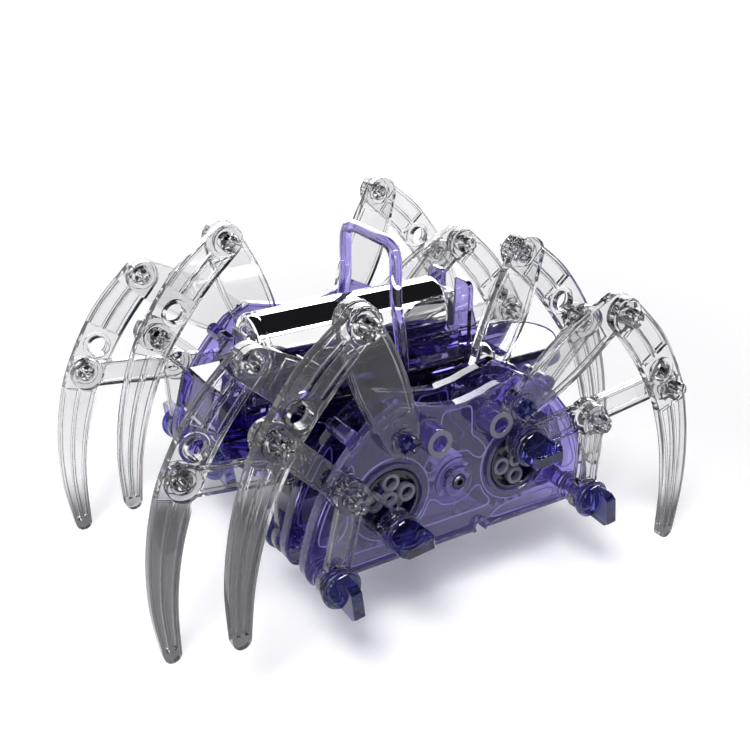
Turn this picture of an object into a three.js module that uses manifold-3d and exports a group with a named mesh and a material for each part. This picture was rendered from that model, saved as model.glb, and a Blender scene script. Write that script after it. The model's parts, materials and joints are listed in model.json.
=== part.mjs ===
// Eight-legged walking robot kit. Two gearbox housings stand side by side, and every side plate carries
// a front and a rear crank linkage that swings one leg. A motor and a single cell sit between them.
// Millimetres, +Z up, the floor at Z = 0. The robot's front is -X and its left side is -Y.
import * as THREE from "three";
import { mergeVertices } from "three/addons/utils/BufferGeometryUtils.js";
import Module from "manifold-3d";

const wasm = await Module();
wasm.setup();

// Linkage, as lengths between pin centres and pin places on a side plate.
const CRANK = { x: 16.5, z: 30.8, throw: 5.5 };
const UPPER_PIVOT = [15, 45.4];
const LOWER_PIVOT = [33, 19.4];
const UPPER_ROCKER = 30.3;
const LOWER_ROCKER = 19;
const LINK_INNER = 17.5;
const LINK_OUTER = 22.8;
const LEG_TOP = 26.8;
const SPARE_HOLE = 20.1;

// Layers, as distances out from a housing's middle plane.
const HOUSING_Y = 30.4;
const PLATE = [3.3, 5.3];
const LAYER_1 = [5.8, 8.2];
const LAYER_2 = [8.7, 11.1];
const GAP = 0.3;

const PIN_R = 1.4;
const PIN_HOLE_R = 1.75;
const HEAD_R = 2.3;
const EYE_R = 3.9;
const CAP_R = 4.2;
const VANE = { width: 7.4, reach: 5.8, thick: 2 };
const CRANK_CAP_TURN = 0.1;
const LOWER_CAP_TURN = -1.45;

// Gears share one module. The crank gears mesh with the pinion on the drive shaft.
const GEAR_MODULE = 0.8;
const CRANK_TEETH = 30;
const PINION_TEETH = 11;
const WHEEL_MODULE = 0.7;
const WHEEL_TEETH = 14;
const SHAFT_R = 1.5;
const WORM_R = 1.4;
const MOTOR = { from: 12, to: 33, z: 38, r: 5.5 };

const CELL = { r: 7.25, from: -31, to: 19.5, z: 56 };
const CHASSIS = { from: -28, to: 26, half: 12, low: 22, high: 45.4, wall: 2 };
const TAIL = { to: 54.5, half: 11, z: 40.1, thick: 2.4, fork: 7.5 };
const SOCKET = { x: 7.8, z: 43.9, r: 3, bore: 1.8, out: 10 };

const LOOP = { x: 0, r: 1.4, foot: 39.8 };

const CLEAR = { color: 0xd9dde0, roughness: 0.12, metalness: 0 };
const PURPLE = { color: 0x4a45b5, roughness: 0.12, metalness: 0 };
const CHROME = { color: 0xd8d8dc, roughness: 0.1, metalness: 1 };
const NYLON = { color: 0xe9e7df, roughness: 0.45, metalness: 0 };
const STEEL = { color: 0xb8bcc2, roughness: 0.3, metalness: 1 };
const RED = { color: 0xb02020, roughness: 0.5, metalness: 0 };
const BLACK = { color: 0x1a1a1c, roughness: 0.5, metalness: 0 };

const robot = new THREE.Group();

// ---- solids ----

// A closed three.js geometry as a manifold solid.
function solid(geometry) {
  const bare = geometry.index ? geometry.toNonIndexed() : geometry.clone();
  bare.deleteAttribute("normal");
  bare.deleteAttribute("uv");
  const merged = mergeVertices(bare, 1e-4);
  return new wasm.Manifold(
    new wasm.Mesh({
      numProp: 3,
      vertProperties: new Float32Array(merged.attributes.position.array),
      triVerts: new Uint32Array(merged.index.array),
    })
  );
}

function join(first, ...others) {
  return others.reduce((whole, piece) => whole.add(piece), first);
}

function cut(first, ...others) {
  return others.reduce((whole, piece) => whole.subtract(piece), first);
}

// Adds a solid to the robot as a named mesh.
function add(name, shape, look) {
  const made = shape.getMesh();
  const geometry = new THREE.BufferGeometry();
  geometry.setAttribute("position", new THREE.BufferAttribute(new Float32Array(made.vertProperties), 3));
  geometry.setIndex(new THREE.BufferAttribute(new Uint32Array(made.triVerts), 1));
  const mesh = new THREE.Mesh(geometry, new THREE.MeshStandardMaterial(look));
  mesh.name = name;
  robot.add(mesh);
}

// A flat outline in X and Z, thickened between two Y values.
function slab(points, y0, y1) {
  const shape = new THREE.Shape(points.map(([x, z]) => new THREE.Vector2(x, z)));
  const low = Math.min(y0, y1);
  const high = Math.max(y0, y1);
  const geometry = new THREE.ExtrudeGeometry(shape, { depth: high - low, bevelEnabled: false });
  geometry.rotateX(Math.PI / 2);
  geometry.translate(0, high, 0);
  return solid(geometry);
}

// A round bar along Y.
function bar([x, z], r, y0, y1, sides = 12) {
  const geometry = new THREE.CylinderGeometry(r, r, Math.abs(y1 - y0), sides);
  geometry.translate(x, (y0 + y1) / 2, z);
  return solid(geometry);
}

// A round bar along X, at y = 0.
function barAlongX(x0, x1, z, r, sides = 20) {
  const geometry = new THREE.CylinderGeometry(r, r, x1 - x0, sides);
  geometry.rotateZ(Math.PI / 2);
  geometry.translate((x0 + x1) / 2, 0, z);
  return solid(geometry);
}

function box([x0, y0, z0], [x1, y1, z1]) {
  const geometry = new THREE.BoxGeometry(x1 - x0, y1 - y0, z1 - z0);
  geometry.translate((x0 + x1) / 2, (y0 + y1) / 2, (z0 + z1) / 2);
  return solid(geometry);
}

// A round rod or wire that follows a list of points.
function rod(points, r, steps, sides) {
  const path = new THREE.CatmullRomCurve3(points.map((p) => new THREE.Vector3(...p)), false, "centripetal");
  const ring = Array.from({ length: sides }, (_, i) => {
    const turn = (i / sides) * 2 * Math.PI;
    return new THREE.Vector2(r * Math.cos(turn), r * Math.sin(turn));
  });
  return solid(new THREE.ExtrudeGeometry(new THREE.Shape(ring), { steps, extrudePath: path }));
}

// ---- flat outlines ----

const arc = ([x, z], r, from, to, steps) =>
  Array.from({ length: steps + 1 }, (_, i) => {
    const turn = from + ((to - from) * i) / steps;
    return [x + r * Math.cos(turn), z + r * Math.sin(turn)];
  });

// A bar with round eyes at both ends. waist is its half width between them; more than the eye makes a lens.
function barOutline(a, b, rA, rB, waist) {
  const along = Math.atan2(b[1] - a[1], b[0] - a[0]);
  const length = Math.hypot(b[0] - a[0], b[1] - a[1]);
  const place = (u, v) => [
    a[0] + u * Math.cos(along) - v * Math.sin(along),
    a[1] + u * Math.sin(along) + v * Math.cos(along),
  ];
  const start = arc([0, 0], rA, Math.PI * 0.62, Math.PI * 1.38, 5);
  const end = arc([length, 0], rB, -Math.PI * 0.38, Math.PI * 0.38, 5);
  const sides = [0.3, 0.5, 0.7].map((t) => [length * t, waist]);
  const lower = sides.map(([u, v]) => [u, -v]);
  return [...start, ...lower, ...end, ...sides.reverse()].map(([u, v]) => place(u, v));
}

// The sickle leg in its own frame: u runs from the top pin to the link pin, v points outwards.
const LEG_SPINE = [[0, 0], [13, 1.1], [26.8, -0.5], [36, -3.4], [45, -7.7], [54, -13.6], [62.6, -21]];
const LEG_HALF_WIDTH = [4, 4.5, 4.3, 3.9, 3.4, 2.8, 2];

function legOutline(top, pin) {
  const along = Math.atan2(pin[1] - top[1], pin[0] - top[0]);
  const place = ([u, v]) => [
    top[0] + u * Math.cos(along) - v * Math.sin(along),
    top[1] + u * Math.sin(along) + v * Math.cos(along),
  ];
  const spine = new THREE.SplineCurve(LEG_SPINE.map(([u, v]) => new THREE.Vector2(u, v)));
  const width = new THREE.SplineCurve(LEG_HALF_WIDTH.map((w, i) => new THREE.Vector2(i, w)));
  const steps = 9;
  const inner = [];
  const outer = [];
  for (let i = 0; i <= steps; i++) {
    const at = spine.getPoint(i / steps);
    const way = spine.getTangent(i / steps);
    const half = width.getPoint(i / steps).y;
    outer.push([at.x - way.y * half, at.y + way.x * half]);
    inner.push([at.x + way.y * half, at.y - way.x * half]);
  }
  const roundEnd = (t, sign) => {
    const at = spine.getPoint(t);
    const way = spine.getTangent(t);
    const heading = Math.atan2(way.y, way.x) - (Math.PI / 2) * sign;
    return arc([at.x, at.y], width.getPoint(t).y, heading, heading + Math.PI, 5).slice(1, -1);
  };
  return [...inner, ...roundEnd(1, 1), ...outer.reverse(), ...roundEnd(0, -1)].map(place);
}

// A spur gear outline with straight-flanked teeth, slimmer than the gaps so that meshed teeth stay clear.
function gearOutline([x, z], teeth, module, phase) {
  const pitch = (teeth * module) / 2;
  const root = pitch - 1.15 * module;
  const tip = pitch + 0.85 * module;
  const points = [];
  for (let i = 0; i < teeth; i++) {
    const middle = phase + (i / teeth) * 2 * Math.PI;
    const step = (2 * Math.PI) / teeth;
    const corners = [[root, -0.25], [tip, -0.1], [tip, 0.1], [root, 0.25]];
    for (const [r, t] of corners) {
      const turn = middle + t * step;
      points.push([x + r * Math.cos(turn), z + r * Math.sin(turn)]);
    }
  }
  return points;
}

// ---- the linkage, solved in one plane with x pointing outwards from the robot's middle ----

// Where two circles cross, taking the higher crossing.
function meet(a, ra, b, rb) {
  const dx = b[0] - a[0];
  const dz = b[1] - a[1];
  const gap = Math.hypot(dx, dz);
  const along = (ra * ra - rb * rb + gap * gap) / (2 * gap);
  const off = Math.sqrt(ra * ra - along * along);
  const foot = [a[0] + (dx * along) / gap, a[1] + (dz * along) / gap];
  const left = [foot[0] - (dz * off) / gap, foot[1] + (dx * off) / gap];
  const right = [foot[0] + (dz * off) / gap, foot[1] - (dx * off) / gap];
  return left[1] > right[1] ? left : right;
}

function linkage(crankUp) {
  const crank = [CRANK.x, CRANK.z + (crankUp ? CRANK.throw : -CRANK.throw)];
  const middle = meet(crank, LINK_INNER, LOWER_PIVOT, LOWER_ROCKER);
  const stretch = (LINK_INNER + LINK_OUTER) / LINK_INNER;
  const pin = [crank[0] + (middle[0] - crank[0]) * stretch, crank[1] + (middle[1] - crank[1]) * stretch];
  const top = meet(UPPER_PIVOT, UPPER_ROCKER, pin, LEG_TOP);
  return { crank, middle, pin, top };
}

// A turn-lock cap: a disc with a thumb vane across it.
function cap([x, z], angle, y, out) {
  const disc = bar([x, z], CAP_R, y, y + out * 2.3, 14);
  const vane = new THREE.BoxGeometry(VANE.width, VANE.reach, VANE.thick);
  vane.translate(0, out * (2 + VANE.reach / 2), 0);
  vane.rotateY(-angle);
  vane.translate(x, y, z);
  return join(disc, solid(vane));
}

// One side of one plate: the two rockers, the leg and the link, all in layers going outwards.
function addLeg(name, side, housingY, out, crankUp) {
  const flip = ([x, z]) => [side * x, z];
  const level = (d) => housingY + out * d;
  const layer = ([from, to]) => [level(from), level(to)];
  const at = linkage(crankUp);
  const flat = (points, range) => slab(points.map(flip), ...layer(range));
  const round = (centre, r, from, to) => bar(flip(centre), r, level(from), level(to), 8);
  const pinEnd = (centre) =>
    join(
      round(centre, PIN_R, LAYER_1[1] - 1, LAYER_2[1] + 0.8),
      round(centre, HEAD_R, LAYER_2[1] + GAP, LAYER_2[1] + 1.7)
    );
  const hole = (centre, range) => round(centre, PIN_HOLE_R, range[0] - 1, range[1] + 1);

  const rockerBody = flat(barOutline(UPPER_PIVOT, at.top, 4, 4.2, 5.6), LAYER_1);
  add(`${name}_upper_rocker`, cut(join(rockerBody, pinEnd(at.top)), hole(UPPER_PIVOT, LAYER_1)), CLEAR);

  const reach = SPARE_HOLE / LEG_TOP;
  const spare = [at.top[0] + (at.pin[0] - at.top[0]) * reach, at.top[1] + (at.pin[1] - at.top[1]) * reach];
  const holes = [at.top, spare, at.pin].map((centre) => hole(centre, LAYER_2));
  add(`${name}_leg`, cut(flat(legOutline(at.top, at.pin), LAYER_2), ...holes), CLEAR);

  const innerBar = flat(barOutline(at.crank, at.middle, 4.1, EYE_R, 3), LAYER_1);
  const outerBar = flat(barOutline(at.middle, at.pin, EYE_R, EYE_R, 3), LAYER_1);
  const crankNeck = round(at.crank, 2.4, LAYER_1[1] - 0.5, LAYER_2[0]);
  const crankCap = cap(flip(at.crank), CRANK_CAP_TURN, level(LAYER_1[1] + GAP), out);
  add(`${name}_link`, join(innerBar, outerBar, crankNeck, crankCap, pinEnd(at.pin)), CLEAR);

  const lowerBody = flat(barOutline(LOWER_PIVOT, at.middle, EYE_R, 3.7, 2.7), LAYER_2);
  const middleHead = round(at.middle, HEAD_R, LAYER_2[1] - 0.5, LAYER_2[1] + 2);
  const lowerHole = hole(LOWER_PIVOT, LAYER_2);
  add(`${name}_lower_rocker`, cut(join(lowerBody, middleHead), lowerHole), CLEAR);
}

// ---- housings ----

// Half of a side plate's outline, from the middle of the top edge outwards and down to the bottom edge.
const PLATE_TOP = [[0, 49.1], [5, 49.8], [10.4, 51.2], [15.4, 52.4]];
const PLATE_SIDE = [
  [21.5, 49.4], [27, 44], [31.5, 38], [34.6, 32], [36.6, 25.5], [37.4, 20.5], [35.6, 16.7], [32, 15.9],
];

function plateOutline() {
  const curve = (points, steps) => {
    const spline = new THREE.SplineCurve(points.map(([x, z]) => new THREE.Vector2(x, z)));
    return spline.getPoints(steps).map((p) => [p.x, p.y]);
  };
  const half = [...curve(PLATE_TOP, 5), ...curve(PLATE_SIDE, 10)];
  const mirrored = half.slice(1).reverse().map(([x, z]) => [-x, z]);
  return [...half, ...mirrored];
}

// A side plate with its sockets, posts for the lower rockers, pegs for the upper rockers and thumb caps.
function addPlate(name, housingY, out) {
  const level = (d) => housingY + out * d;
  const tube = (x, z, r, from, to, sides = 8) => bar([x, z], r, level(from), level(to), sides);
  let plate = slab(plateOutline(), level(PLATE[0]), level(PLATE[1]));
  for (const side of [1, -1]) {
    const [ux, uz] = [side * UPPER_PIVOT[0], UPPER_PIVOT[1]];
    const [lx, lz] = [side * LOWER_PIVOT[0], LOWER_PIVOT[1]];
    plate = join(
      plate,
      tube(ux, uz, PIN_R, PLATE[0], LAYER_1[1] + 1),
      tube(ux, uz, 2, LAYER_1[1] + GAP, LAYER_1[1] + 1.6),
      tube(lx, lz, 3.3, PLATE[0], LAYER_2[0] - GAP),
      tube(lx, lz, PIN_R, LAYER_1[1], LAYER_2[1] + 1),
      cap([lx, lz], LOWER_CAP_TURN, level(LAYER_2[1] + GAP), out),
      tube(side * SOCKET.x, SOCKET.z, SOCKET.r, PLATE[0], SOCKET.out, 12),
      tube(lx * 0.97, lz + 1, 2.2, 0.2, PLATE[0] + 0.5),
      tube(side * 25, 47, 1.8, 0.2, PLATE[0] + 0.5)
    );
    plate = cut(
      plate,
      tube(side * CRANK.x, CRANK.z, 7.5, PLATE[0] - 1, PLATE[1] + 0.2, 20),
      tube(side * SOCKET.x, SOCKET.z, SOCKET.bore, PLATE[0] - 1, SOCKET.out + 1)
    );
  }
  const shaftHole = tube(0, CRANK.z, SHAFT_R + GAP, PLATE[0] - 1, PLATE[1] + 1);
  const notch = tube(7, 16.2, 1.2, PLATE[0] - 1, PLATE[1] + 1);
  add(name, cut(plate, shaftHole, notch), PURPLE);
}

// The crank gear with its shaft and the crank discs that sit in both plates' windows.
function addCrankshaft(name, side, housingY) {
  const centre = [side * CRANK.x, CRANK.z];
  const meshPhase = side > 0 ? Math.PI : Math.PI / CRANK_TEETH;
  const outline = gearOutline(centre, CRANK_TEETH, GEAR_MODULE, meshPhase);
  const gear = slab(outline, housingY - 2, housingY + 2);
  const discs = [-1, 1].map((out) => bar(centre, 7, housingY + out * 2.6, housingY + out * 5.4, 20));
  const hub = bar(centre, 5, housingY - 3, housingY + 3);
  add(name, join(gear, hub, ...discs), PURPLE);
}

for (const [side, housingY, outward] of [["left", -HOUSING_Y, -1], ["right", HOUSING_Y, 1]]) {
  addPlate(`${side}_outer_plate`, housingY, outward);
  addPlate(`${side}_inner_plate`, housingY, -outward);
  addCrankshaft(`${side}_front_crankshaft`, -1, housingY);
  addCrankshaft(`${side}_rear_crankshaft`, 1, housingY);
  // The plate face turned to -Y has its front crank down, the face turned to +Y has it up.
  for (const [face, out] of [["outer", outward], ["inner", -outward]]) {
    addLeg(`${side}_${face}_front`, -1, housingY, out, out > 0);
    addLeg(`${side}_${face}_rear`, 1, housingY, out, out < 0);
  }
}

// ---- drive train ----

const shaftEnd = HOUSING_Y + PLATE[1] + 1.4;
add("drive_shaft", bar([0, CRANK.z], SHAFT_R, -shaftEnd, shaftEnd, 12), STEEL);

// A tooth gap of the pinion faces the rear crank gear, and with its odd count a tooth faces the front one.
for (const [side, y] of [["left", -HOUSING_Y], ["right", HOUSING_Y]]) {
  const outline = gearOutline([0, CRANK.z], PINION_TEETH, GEAR_MODULE, Math.PI / PINION_TEETH);
  const pinion = slab(outline, y - 2, y + 2);
  add(`${side}_pinion`, cut(pinion, bar([0, CRANK.z], SHAFT_R + GAP, y - 3, y + 3, 12)), NYLON);
}

const wheel = slab(gearOutline([0, CRANK.z], WHEEL_TEETH, WHEEL_MODULE, 0), -2, 2);
add("worm_wheel", cut(wheel, bar([0, CRANK.z], SHAFT_R + GAP, -3, 3, 12)), NYLON);
add("worm", barAlongX(-6, MOTOR.from - 2, MOTOR.z, WORM_R, 12), STEEL);

const motorCan = barAlongX(MOTOR.from, MOTOR.to, MOTOR.z, MOTOR.r, 24);
const motorNose = barAlongX(MOTOR.from - 1.6, MOTOR.from + 1, MOTOR.z, 2.5, 16);
const motorCap = barAlongX(MOTOR.to - 0.5, MOTOR.to + 1.2, MOTOR.z, 2.5, 16);
add("motor", join(motorCan, motorNose, motorCap), CHROME);

// ---- centre body ----

// A box across the middle plane, or a pair of boxes mirrored in it when the near edge is above zero.
function acrossMiddle(x0, x1, near, far, z0, z1) {
  if (near === 0) return [box([x0, -far, z0], [x1, far, z1])];
  return [box([x0, -far, z0], [x1, -near, z1]), box([x0, near, z0], [x1, far, z1])];
}

function makeChassis() {
  const { from, to, half, low, high, wall } = CHASSIS;
  const outside = box([from, -half, low], [to, half, high]);
  const inside = box([from + wall, -half + wall, low + wall], [to - wall, half - wall, high + 1]);
  const arms = [-1, 1].flatMap((x) =>
    [-1, 1].flatMap((y) => [
      bar([x * SOCKET.x, SOCKET.z - 1.2], 2.6, y * (half - 1), y * (HOUSING_Y - SOCKET.out - GAP), 12),
      bar([x * SOCKET.x, SOCKET.z], SOCKET.bore - GAP, y * (half - 1), y * (HOUSING_Y - PLATE[1]), 12),
    ])
  );
  const loopFeet = acrossMiddle(LOOP.x - 3, LOOP.x + 3, half - 0.5, half + 3.8, 35, LOOP.foot - GAP);
  const axleHole = bar([0, CRANK.z], SHAFT_R + GAP, -half - 1, half + 1, 12);
  const motorHole = barAlongX(to - wall - 1, to + 1, MOTOR.z, MOTOR.r + GAP, 24);
  const motorSlot = box([to - wall - 1, -4, MOTOR.z], [to + 1, 4, high + 1]);
  return cut(join(cut(outside, inside), ...arms, ...loopFeet), axleHole, motorHole, motorSlot);
}

function makeTray() {
  const { r, from, to, z } = CELL;
  const side = r + 1.35;
  const base = CHASSIS.high + GAP;
  const floor = box([from - 3.4, -side, base], [to + 3.6, side, base + 1.8]);
  const rails = acrossMiddle(from, to, r + 0.35, side, base + 1, base + 6.2);
  const frontWall = acrossMiddle(from - 3.4, from - 2, 0, side, base + 1, z + 2);
  const rearWall = acrossMiddle(to + 2.2, to + 3.6, 0, side, base + 1, z - 2);
  const rearTabs = acrossMiddle(to + 2.2, to + 3.6, 2.6, side, z - 3, z + r);
  const cellRoom = barAlongX(from - 1.5, to + 1.5, z, r + GAP, 28);
  return join(cut(join(floor, ...rails), cellRoom), ...frontWall, ...rearWall, ...rearTabs);
}

function makeLoop() {
  const halfPath = [
    [14.4, LOOP.foot], [14.3, 48], [13.4, 55], [11.6, 61], [11, 66], [10.9, 71.5], [9.9, 75.1], [7.2, 76.3],
  ];
  const points = [
    ...halfPath.map(([y, z]) => [LOOP.x, -y, z]),
    [LOOP.x, 0, 76.5],
    ...halfPath.reverse().map(([y, z]) => [LOOP.x, y, z]),
  ];
  return rod(points, LOOP.r, 30, 8);
}

// The tail plate is a rounded tongue whose two arms reach forward past the motor.
function makeTail() {
  const { to, half, z, thick, fork } = TAIL;
  const start = CHASSIS.to + GAP;
  const tip = arc([to - half, 0], half, -Math.PI / 2, Math.PI / 2, 14);
  const armEnd = MOTOR.to + 2;
  const slot = [[start, fork], [armEnd, fork], [armEnd, -fork], [start, -fork]];
  const outline = [[start, -half], ...tip, [start, half], ...slot];
  const shape = new THREE.Shape(outline.map(([x, y]) => new THREE.Vector2(x, y)));
  const geometry = new THREE.ExtrudeGeometry(shape, { depth: thick, bevelEnabled: false });
  geometry.translate(0, 0, z);
  return solid(geometry);
}

function makeNose() {
  const back = CHASSIS.from - GAP;
  const trayFront = CELL.from - 3.4 - GAP;
  const profile = [
    [back, 27], [back - 7, 29], [back - 13, 35], [back - 16.5, 43], [back - 14, 50.5],
    [trayFront, 50.5], [trayFront, 45], [back, 45],
  ];
  return slab(profile, -8, 8);
}

add("chassis", makeChassis(), PURPLE);
add("cell_tray", makeTray(), PURPLE);
add("top_loop", makeLoop(), PURPLE);
add("tail_plate", makeTail(), PURPLE);
add("nose_bracket", makeNose(), PURPLE);

const cellCan = barAlongX(CELL.from, CELL.to - 1.2, CELL.z, CELL.r, 28);
const cellTip = barAlongX(CELL.to - 1.5, CELL.to, CELL.z, 2.7, 14);
add("cell", join(cellCan, cellTip), CHROME);
add("front_contact", box([CELL.from - 1.7, -4, CELL.z - 5], [CELL.from - GAP, 4, CELL.z + 4]), STEEL);
add("rear_contact", box([CELL.to + GAP, -3.6, CELL.z - 5], [CELL.to + 1.7, 3.6, CELL.z + 4]), STEEL);

// Two wires lie in the chassis, from its front wall and from its middle back to the motor's two tabs.
const frontRun = [[-25, 7, 44], [-20, 9, 42], [-8, 9, 41], [10, 9, 41], [20, 9, 40], [23, 9, 42]];
const rearRun = [[22, -9, 44], [18, -9, 42], [10, -9, 41], [4, -9, 40]];
add("front_wire", rod(frontRun, 0.5, 12, 6), RED);
add("rear_wire", rod(rearRun, 0.5, 8, 6), BLACK);

// The lower four feet stand on the floor.
const lowest = new THREE.Box3().setFromObject(robot).min.z;
robot.children.forEach((mesh) => mesh.geometry.translate(0, 0, -lowest));

export default robot;
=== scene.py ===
# Walking robot kit: clear crank-driven legs on see-through indigo housings, with a bright cell on top.
# Shapes are made in millimetres, each in its own frame, and placed in the row's frame in metres.
import json
import math

import bmesh
import bpy
from mathutils import Matrix, Vector


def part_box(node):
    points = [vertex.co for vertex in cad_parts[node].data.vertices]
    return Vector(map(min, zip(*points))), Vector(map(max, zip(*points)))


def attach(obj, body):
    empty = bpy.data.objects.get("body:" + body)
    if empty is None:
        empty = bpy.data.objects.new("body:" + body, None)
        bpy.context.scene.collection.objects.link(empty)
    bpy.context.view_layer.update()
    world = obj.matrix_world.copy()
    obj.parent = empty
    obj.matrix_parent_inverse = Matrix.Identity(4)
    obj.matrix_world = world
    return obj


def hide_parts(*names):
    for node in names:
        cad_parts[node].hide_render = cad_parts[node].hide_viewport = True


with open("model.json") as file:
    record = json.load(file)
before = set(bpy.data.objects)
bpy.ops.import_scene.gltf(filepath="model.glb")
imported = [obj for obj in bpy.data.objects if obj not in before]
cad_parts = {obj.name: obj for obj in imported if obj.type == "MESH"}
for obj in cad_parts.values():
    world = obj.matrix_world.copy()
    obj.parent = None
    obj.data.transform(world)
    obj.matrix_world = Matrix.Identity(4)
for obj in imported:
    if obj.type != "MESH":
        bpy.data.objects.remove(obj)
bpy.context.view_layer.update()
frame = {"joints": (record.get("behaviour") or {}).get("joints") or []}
MM = 0.001
TAU = 2 * math.pi
X, Y, Z = (1, 0, 0), (0, 1, 0), (0, 0, 1)
# Each hand has the way that its outer side faces, and each end its side of the middle.
SIDES = (1, -1)
HANDS, ENDS = (("left", -1), ("right", 1)), (("front", -1), ("rear", 1))

# Distances out from a housing's middle plane.
PLATE = (3.3, 5.3)
LAYER_1 = (5.8, 8.2)
LAYER_2 = (8.7, 11.1)
PIN_TOP = LAYER_2[1] + 3.0

# The linkage.
CRANK_THROW = 5.5
LINK_INNER, LINK_OUTER = 17.5, 22.8
LEG_TOP, SPARE_HOLE = 26.8, 20.1
UPPER_LENGTH, LOWER_LENGTH = 30.3, 19.0
PIN_BORE = 0.75
CRANK_CAP_TURN, LOWER_CAP_TURN = 0.1, -1.45

# Places on the plates, as x and height, and the gears.
NOTCH, NOTCH_R = (7, 16.8), 1.3
SOCKET_X, SOCKET_Z = 7.8, 43.9
PEG, POST = (15, 45.4), (33, 19.4)
CRANK_TEETH, PINION_TEETH, WHEEL_TEETH = 30, 11, 14
GEAR_MODULE, WHEEL_MODULE = 0.8, 0.7

# The centre: the body box, the motor and the gears that drive the cranks.
BODY_X = (-28.0, 26.0)
CHASSIS_LOW, CHASSIS_TOP = 22.0, 45.4
MOTOR_X, MOTOR_Z, MOTOR_R = (12.0, 33.0), 38.0, 5.5
SHAFT_Z, SHAFT_BORE = 30.8, 1.62

JOINTS = {j["name"]: j for j in frame["joints"]}


def joint_place(name):
    """A joint's place in millimetres."""
    return [v / MM for v in JOINTS[name]["pos_m"]]


# Heights are drawn with the crank axes at SHAFT_Z. LIFT takes them to the frame, where the feet stand on 0.
CRANK_X, _, CRANK_Z = joint_place("left_rear_crankshaft_spin")
HOUSING_Y = joint_place("right_rear_crankshaft_spin")[1]
LIFT = CRANK_Z - SHAFT_Z


# ---------------------------------------------------------------- meshes

def linked(ob):
    bpy.context.scene.collection.objects.link(ob)
    return ob


def to_mesh(bm):
    bmesh.ops.recalc_face_normals(bm, faces=bm.faces)
    mesh = bpy.data.meshes.new("m")
    bm.to_mesh(mesh)
    bm.free()
    return mesh


def evaluated(ob):
    """The mesh that an object and its modifiers give. The object goes."""
    linked(ob)
    bpy.context.view_layer.update()
    mesh = bpy.data.meshes.new_from_object(ob.evaluated_get(bpy.context.evaluated_depsgraph_get()))
    bpy.data.objects.remove(ob)
    return mesh


def prism(loops, low, high, bevel, steps=2):
    """A plate with its outlines in u and v and rounded edges.

    The first loop is the outside, and the rest are holes."""
    curve = bpy.data.curves.new("outline", "CURVE")
    curve.dimensions = "2D"
    curve.fill_mode = "BOTH"
    curve.extrude = (high - low) / 2 - bevel
    curve.bevel_depth = bevel
    curve.bevel_resolution = steps
    curve.offset = -bevel
    for loop in loops:
        spline = curve.splines.new("POLY")
        spline.points.add(len(loop) - 1)
        for point, (u, v) in zip(spline.points, loop):
            point.co = (u, v, 0, 1)
        spline.use_cyclic_u = True
    mesh = evaluated(bpy.data.objects.new("outline", curve))
    bm = bmesh.new()
    bm.from_mesh(mesh)
    bmesh.ops.remove_doubles(bm, verts=bm.verts, dist=1e-4)
    bmesh.ops.translate(bm, verts=bm.verts, vec=(0, 0, (low + high) / 2))
    return to_mesh(bm)


def lathe(profile, centre=(0, 0), sides=32, closed=False, start=0.0, turn=TAU):
    """Turns a profile of (radius, d) about the d axis.

    A closed profile makes a ring, and a part turn has end caps."""
    bm = bmesh.new()
    full = abs(turn - TAU) < 1e-6
    count = sides if full else sides + 1
    rings = []
    for r, d in profile:
        if r < 1e-6 and full:
            rings.append([bm.verts.new((centre[0], centre[1], d))])
        else:
            ring = []
            for i in range(count):
                a = start + turn * i / sides
                ring.append(bm.verts.new((centre[0] + r * math.cos(a), centre[1] + r * math.sin(a), d)))
            rings.append(ring)
    pairs = list(zip(rings, rings[1:]))
    if closed:
        pairs.append((rings[-1], rings[0]))
    for a, b in pairs:
        for i in range(sides):
            j = (i + 1) % count
            if len(a) == 1 and len(b) == 1:
                continue
            if len(a) == 1:
                bm.faces.new((a[0], b[i], b[j]))
            elif len(b) == 1:
                bm.faces.new((a[i], b[0], a[j]))
            else:
                bm.faces.new((a[i], b[i], b[j], a[j]))
    if not full:
        bm.faces.new([ring[0] for ring in rings])
        bm.faces.new([ring[-1] for ring in reversed(rings)])
    if not closed and full:
        for ring in (rings[0], rings[-1]):
            if len(ring) > 1:
                bm.faces.new(ring)
    bmesh.ops.remove_doubles(bm, verts=bm.verts, dist=1e-5)
    return to_mesh(bm)


def outer_corners(radius, low, high, soft):
    """The outer side of a turned shape, with rounded corners."""
    k = soft * 0.3
    return [(radius - soft, low), (radius - k, low + k), (radius, low + soft),
            (radius, high - soft), (radius - k, high - k), (radius - soft, high)]


def ring_profile(inner, outer, low, high, soft):
    """A tube's closed profile with rounded outer corners."""
    k = soft * 0.3
    return [(inner, low + k), (inner + k, low), *outer_corners(outer, low, high, soft),
            (inner + k, high), (inner, high - k)]


def tube(centre, inner, outer, low, high, sides, soft):
    return lathe(ring_profile(inner, outer, low, high, soft), centre, sides, closed=True)


def disc(centre, radius, low, high, sides, soft=0.2):
    return lathe([(0, low), *outer_corners(radius, low, high, soft), (0, high)], centre, sides)


def sweep(points, section, closed=False, up=(0, 0, 1)):
    """Carries a section of (side, up) points along a path."""
    up = Vector(up)
    path = [Vector(p) for p in points]
    bm = bmesh.new()
    rings = []
    n = len(path)
    for i, p in enumerate(path):
        before = path[(i - 1) % n] if closed or i > 0 else p
        after = path[(i + 1) % n] if closed or i < n - 1 else p
        way = (after - before).normalized()
        across = way.cross(up).normalized()
        above = across.cross(way)
        rings.append([bm.verts.new(p + across * a + above * b) for a, b in section])
    m = len(section)
    for i in range(n if closed else n - 1):
        a, b = rings[i], rings[(i + 1) % n]
        for k in range(m):
            bm.faces.new((a[k], a[(k + 1) % m], b[(k + 1) % m], b[k]))
    if not closed:
        bm.faces.new(rings[0])
        bm.faces.new(list(reversed(rings[-1])))
    return to_mesh(bm)


def spot(centre, radius, angle):
    return centre[0] + radius * math.cos(angle), centre[1] + radius * math.sin(angle)


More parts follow.
